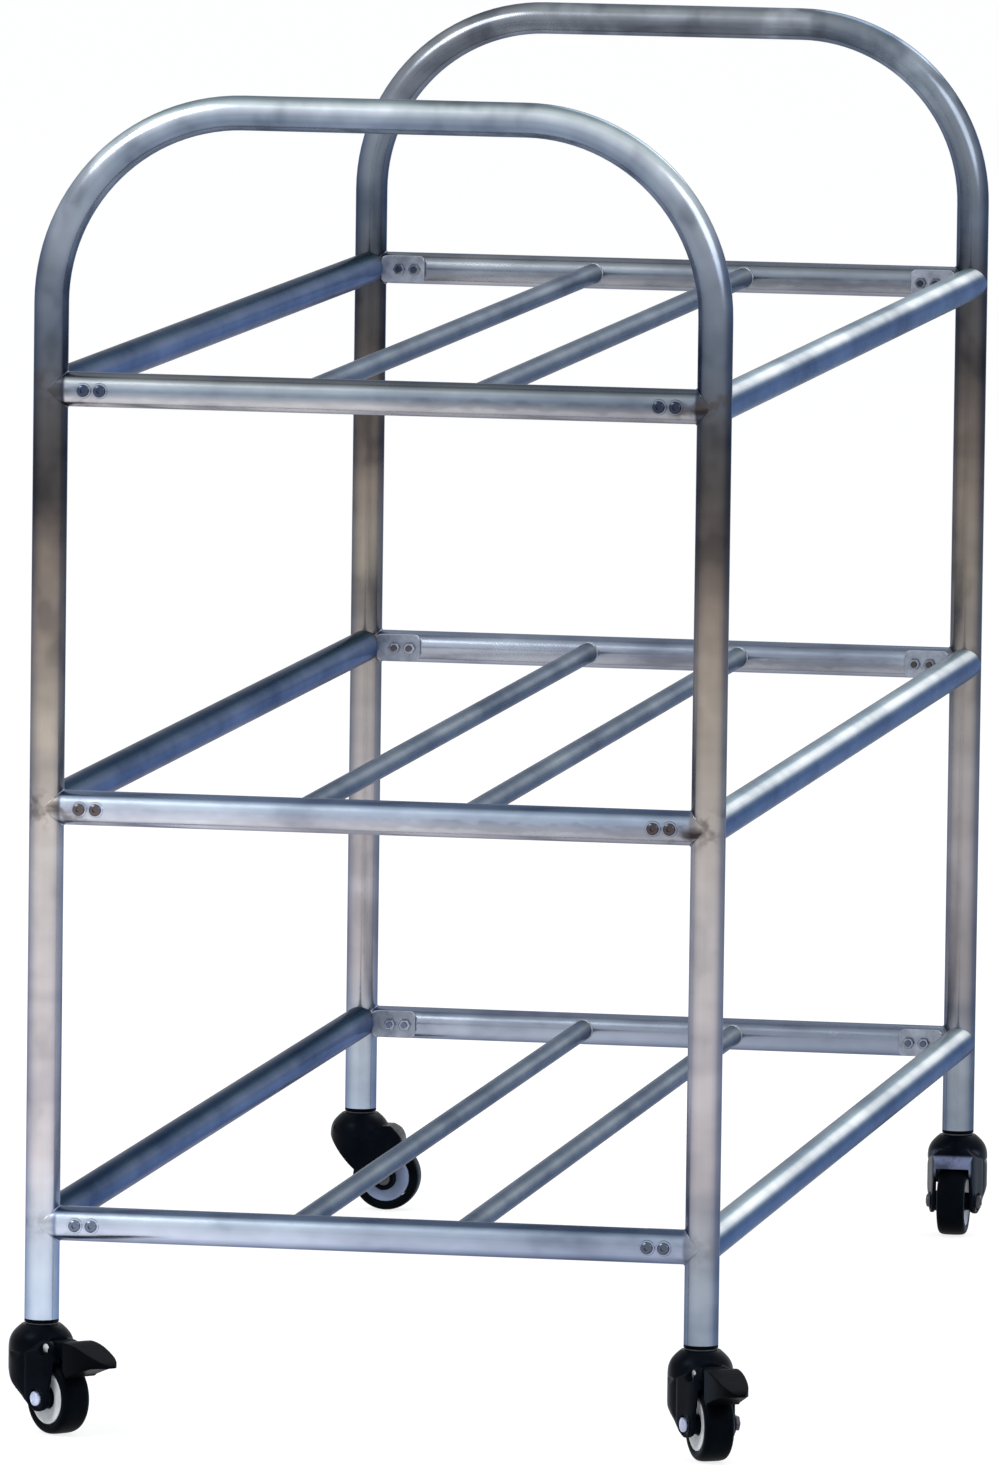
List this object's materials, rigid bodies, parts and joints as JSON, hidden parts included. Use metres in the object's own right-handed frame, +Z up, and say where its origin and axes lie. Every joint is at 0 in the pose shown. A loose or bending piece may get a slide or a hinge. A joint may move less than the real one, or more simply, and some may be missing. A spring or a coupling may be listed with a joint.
{
  "type": "ball cart",
  "caption": "Wheeled ball cart of round stainless tube: bent end hoops, tiers of side rails and rods that cradle rows of balls, and hooded swivel casters with foot brakes in front.",
  "frame": {"origin": "on the floor under the middle of the whole cart's box, with the casters turned as they stand at rest", "axes": "+Z up; +Y from the front hoop to the rear hoop, the long way; +X to the right seen from the front"},
  "size_m": [0.5504, 1.305, 0.9625],
  "materials": {
    "stainless_tube": "polished stainless tube, bright, with faint lengthwise polishing marks",
    "stainless_rod": "polished stainless rod tube",
    "zinc_steel": "bright zinc-plated steel",
    "black_fork": "gloss black coated steel",
    "black_plastic": "gloss black moulded nylon",
    "black_tyre": "black soft tread, semi-gloss",
    "wheel_core": "pale grey moulded wheel core"
  },
  "bodies": {
    "frame": {"front_hoop": "stainless_tube", "rear_hoop": "stainless_tube", "bottom_front_rail": "stainless_tube", "bottom_rear_rail": "stainless_tube", "bottom_left_side_rail": "stainless_tube", "bottom_left_rod": "stainless_rod", "bottom_right_side_rail": "stainless_tube", "bottom_right_rod": "stainless_rod", "middle_front_rail": "stainless_tube", "middle_rear_rail": "stainless_tube", "middle_left_side_rail": "stainless_tube", "middle_left_rod": "stainless_rod", "middle_right_side_rail": "stainless_tube", "middle_right_rod": "stainless_rod", "top_front_rail": "stainless_tube", "top_rear_rail": "stainless_tube", "top_left_side_rail": "stainless_tube", "top_left_rod": "stainless_rod", "top_right_side_rail": "stainless_tube", "top_right_rod": "stainless_rod", "front_left_leg_insert": "black_plastic", "front_left_caster_stem": "zinc_steel", "front_left_swivel_race": "zinc_steel", "front_right_leg_insert": "black_plastic", "front_right_caster_stem": "zinc_steel", "front_right_swivel_race": "zinc_steel", "rear_left_leg_insert": "black_plastic", "rear_left_caster_stem": "zinc_steel", "rear_left_swivel_race": "zinc_steel", "rear_right_leg_insert": "black_plastic", "rear_right_caster_stem": "zinc_steel", "rear_right_swivel_race": "zinc_steel"},
    "front_left_swivel": {"front_left_caster_fork": "black_fork", "front_left_wheel_axle": "zinc_steel", "front_left_axle_nut": "zinc_steel", "front_left_brake_pin": "zinc_steel"},
    "front_left_wheel": {"front_left_tyre": "black_tyre", "front_left_wheel_core": "wheel_core"},
    "front_left_brake": {"front_left_brake_pedal": "black_plastic"},
    "front_right_swivel": {"front_right_caster_fork": "black_fork", "front_right_wheel_axle": "zinc_steel", "front_right_axle_nut": "zinc_steel", "front_right_brake_pin": "zinc_steel"},
    "front_right_wheel": {"front_right_tyre": "black_tyre", "front_right_wheel_core": "wheel_core"},
    "front_right_brake": {"front_right_brake_pedal": "black_plastic"},
    "rear_left_swivel": {"rear_left_caster_fork": "black_fork", "rear_left_wheel_axle": "zinc_steel", "rear_left_axle_nut": "zinc_steel"},
    "rear_left_wheel": {"rear_left_tyre": "black_tyre", "rear_left_wheel_core": "wheel_core"},
    "rear_right_swivel": {"rear_right_caster_fork": "black_fork", "rear_right_wheel_axle": "zinc_steel", "rear_right_axle_nut": "zinc_steel"},
    "rear_right_wheel": {"rear_right_tyre": "black_tyre", "rear_right_wheel_core": "wheel_core"}
  },
  "joints": [
    {"name": "front_left_swivel_turn", "type": "hinge", "parent": "frame", "child": "front_left_swivel", "pos_m": [-0.25153, -0.57119, 0.0766], "axis": [0, 0, 1], "continuous": true},
    {"name": "front_left_wheel_spin", "type": "hinge", "parent": "front_left_swivel", "child": "front_left_wheel", "pos_m": [-0.2357, -0.58648, 0.02667], "axis": [0.6947, 0.7193, 0], "continuous": true},
    {"name": "front_left_brake_press", "type": "hinge", "parent": "front_left_swivel", "child": "front_left_brake", "pos_m": [-0.23283, -0.58925, 0.063], "axis": [0.6947, 0.7193, 0], "range_deg": [0, 10]},
    {"name": "front_right_swivel_turn", "type": "hinge", "parent": "frame", "child": "front_right_swivel", "pos_m": [0.22847, -0.57119, 0.0766], "axis": [0, 0, 1], "continuous": true},
    {"name": "front_right_wheel_spin", "type": "hinge", "parent": "front_right_swivel", "child": "front_right_wheel", "pos_m": [0.2388, -0.59062, 0.02667], "axis": [0.8829, 0.4695, 0], "continuous": true},
    {"name": "front_right_brake_press", "type": "hinge", "parent": "front_right_swivel", "child": "front_right_brake", "pos_m": [0.24068, -0.59415, 0.063], "axis": [0.8829, 0.4695, 0], "range_deg": [0, 10]},
    {"name": "rear_left_swivel_turn", "type": "hinge", "parent": "frame", "child": "rear_left_swivel", "pos_m": [-0.25153, 0.62881, 0.0766], "axis": [0, 0, 1], "continuous": true},
    {"name": "rear_left_wheel_spin", "type": "hinge", "parent": "rear_left_swivel", "child": "rear_left_wheel", "pos_m": [-0.22954, 0.62957, 0.02667], "axis": [-0.0349, 0.9994, 0], "continuous": true},
    {"name": "rear_right_swivel_turn", "type": "hinge", "parent": "frame", "child": "rear_right_swivel", "pos_m": [0.22847, 0.62881, 0.0766], "axis": [0, 0, 1], "continuous": true},
    {"name": "rear_right_wheel_spin", "type": "hinge", "parent": "rear_right_swivel", "child": "rear_right_wheel", "pos_m": [0.22924, 0.60682, 0.02667], "axis": [0.9994, 0.0349, 0], "continuous": true}
  ]
}
